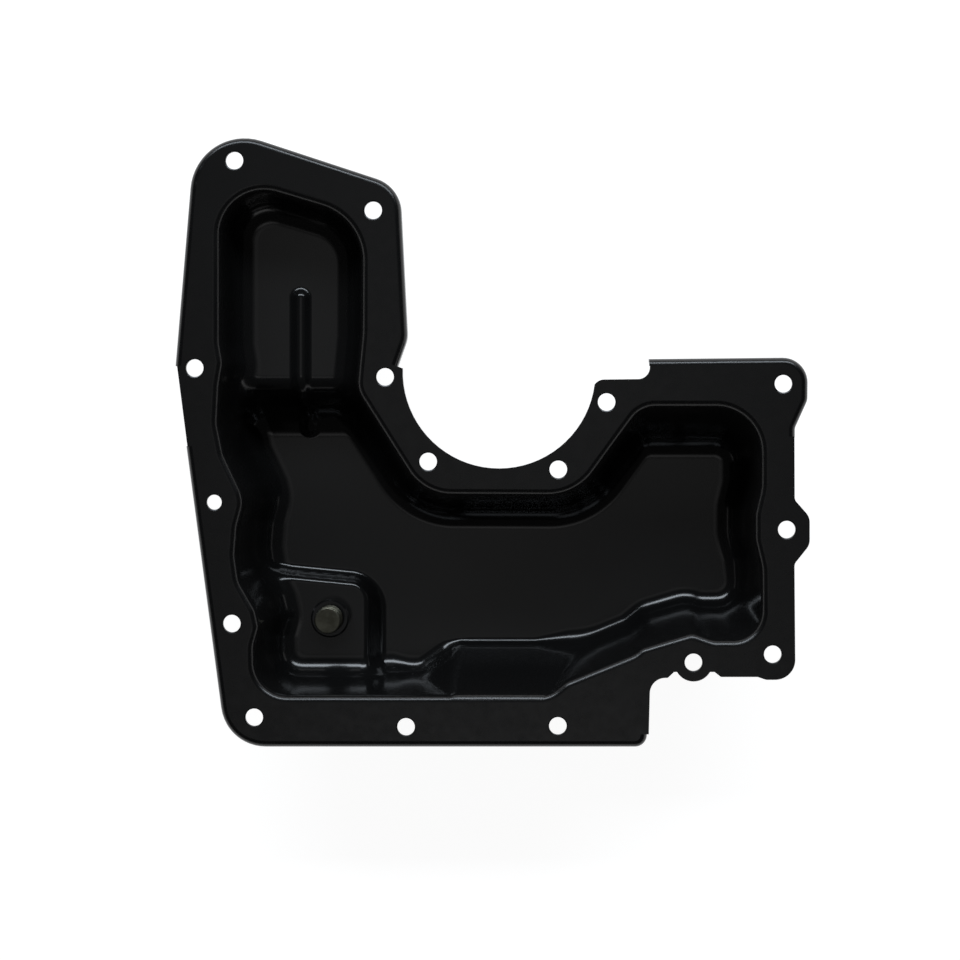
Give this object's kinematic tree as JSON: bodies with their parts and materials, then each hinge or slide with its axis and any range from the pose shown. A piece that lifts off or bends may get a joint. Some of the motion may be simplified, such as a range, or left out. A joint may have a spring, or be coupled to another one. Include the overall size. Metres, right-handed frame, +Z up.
{
  "type": "engine oil pan",
  "caption": "Stamped steel engine oil pan with a bolt flange, turned-down lips, a shallow lobe, a deep tub and a threaded drain plug.",
  "frame": {"origin": "under the middle of the pan's outline, on the plane that its deep floor rests on", "axes": "+Z up, out of the open side, along the screws; +X along the longer side, towards the east arm; +Y towards the end of the shallow lobe"},
  "size_m": [0.267, 0.2566, 0.056],
  "materials": {
    "paint": "gloss",
    "collar": "dark satin",
    "washer": "satin",
    "plug": "plated, satin"
  },
  "bodies": {
    "pan": {"oil_pan": "paint", "drain_nut": "collar"},
    "washer": {"drain_gasket": "washer"},
    "plug": {"drain_plug": "plug"}
  },
  "joints": [
    {"name": "plug_travel", "type": "slide", "parent": "pan", "child": "washer", "axis": [0, 0, -1], "range_m": [0, 0.0175]},
    {"name": "plug_turn", "type": "hinge", "parent": "washer", "child": "plug", "pos_m": [-0.073, -0.0786, 0.0114], "axis": [0, 0, -1], "range_deg": [0, 5041]}
  ],
  "couplings": [
    {"joint": "plug_turn", "follows": "plug_travel", "rad_per_m": 5026.5}
  ]
}
